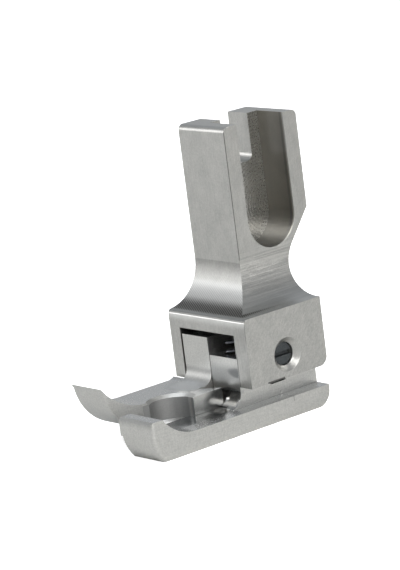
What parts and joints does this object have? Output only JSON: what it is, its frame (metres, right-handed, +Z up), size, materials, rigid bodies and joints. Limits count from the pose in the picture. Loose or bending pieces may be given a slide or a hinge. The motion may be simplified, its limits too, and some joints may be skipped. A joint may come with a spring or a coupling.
{
  "type": "sewing machine presser foot",
  "caption": "Steel presser foot with a forked shank, a hinged left sole with an upturned toe and a sprung edge-guide sole that slides on a slotted cross pin.",
  "frame": {"origin": "middle of the bounding box's base; the base is the level of the guide sole's underside at rest", "axes": "+X to the operator's right, where the bar seat opens and the guide is; +Y away from the operator; +Z up along the presser bar"},
  "size_m": [0.0142, 0.033, 0.0355],
  "materials": {
    "ground_steel": "satin ground",
    "sole_steel": "polished sole, satin sides",
    "guide_steel": "polished nose, satin sides",
    "black_steel": "blackened",
    "spring_steel": "drawn wire"
  },
  "bodies": {
    "housing": {"shank": "ground_steel", "pivot_screw": "black_steel"},
    "left_sole": {"left_sole": "sole_steel"},
    "guide_sole": {"guide_sole": "guide_steel", "guide_spring": "spring_steel"}
  },
  "joints": [
    {"name": "left_sole_rock", "type": "hinge", "parent": "housing", "child": "left_sole", "pos_m": [-0.00287, 0.0056, 0.0078], "axis": [-1, 0, 0], "range_deg": [-4, 5]},
    {"name": "guide_rise", "type": "slide", "parent": "housing", "child": "guide_sole", "axis": [0, 0, 1], "range_m": [0, 0.0023], "stiffness_N_per_m": 900, "springref_m": -0.002, "deforming": ["guide_spring"]}
  ]
}
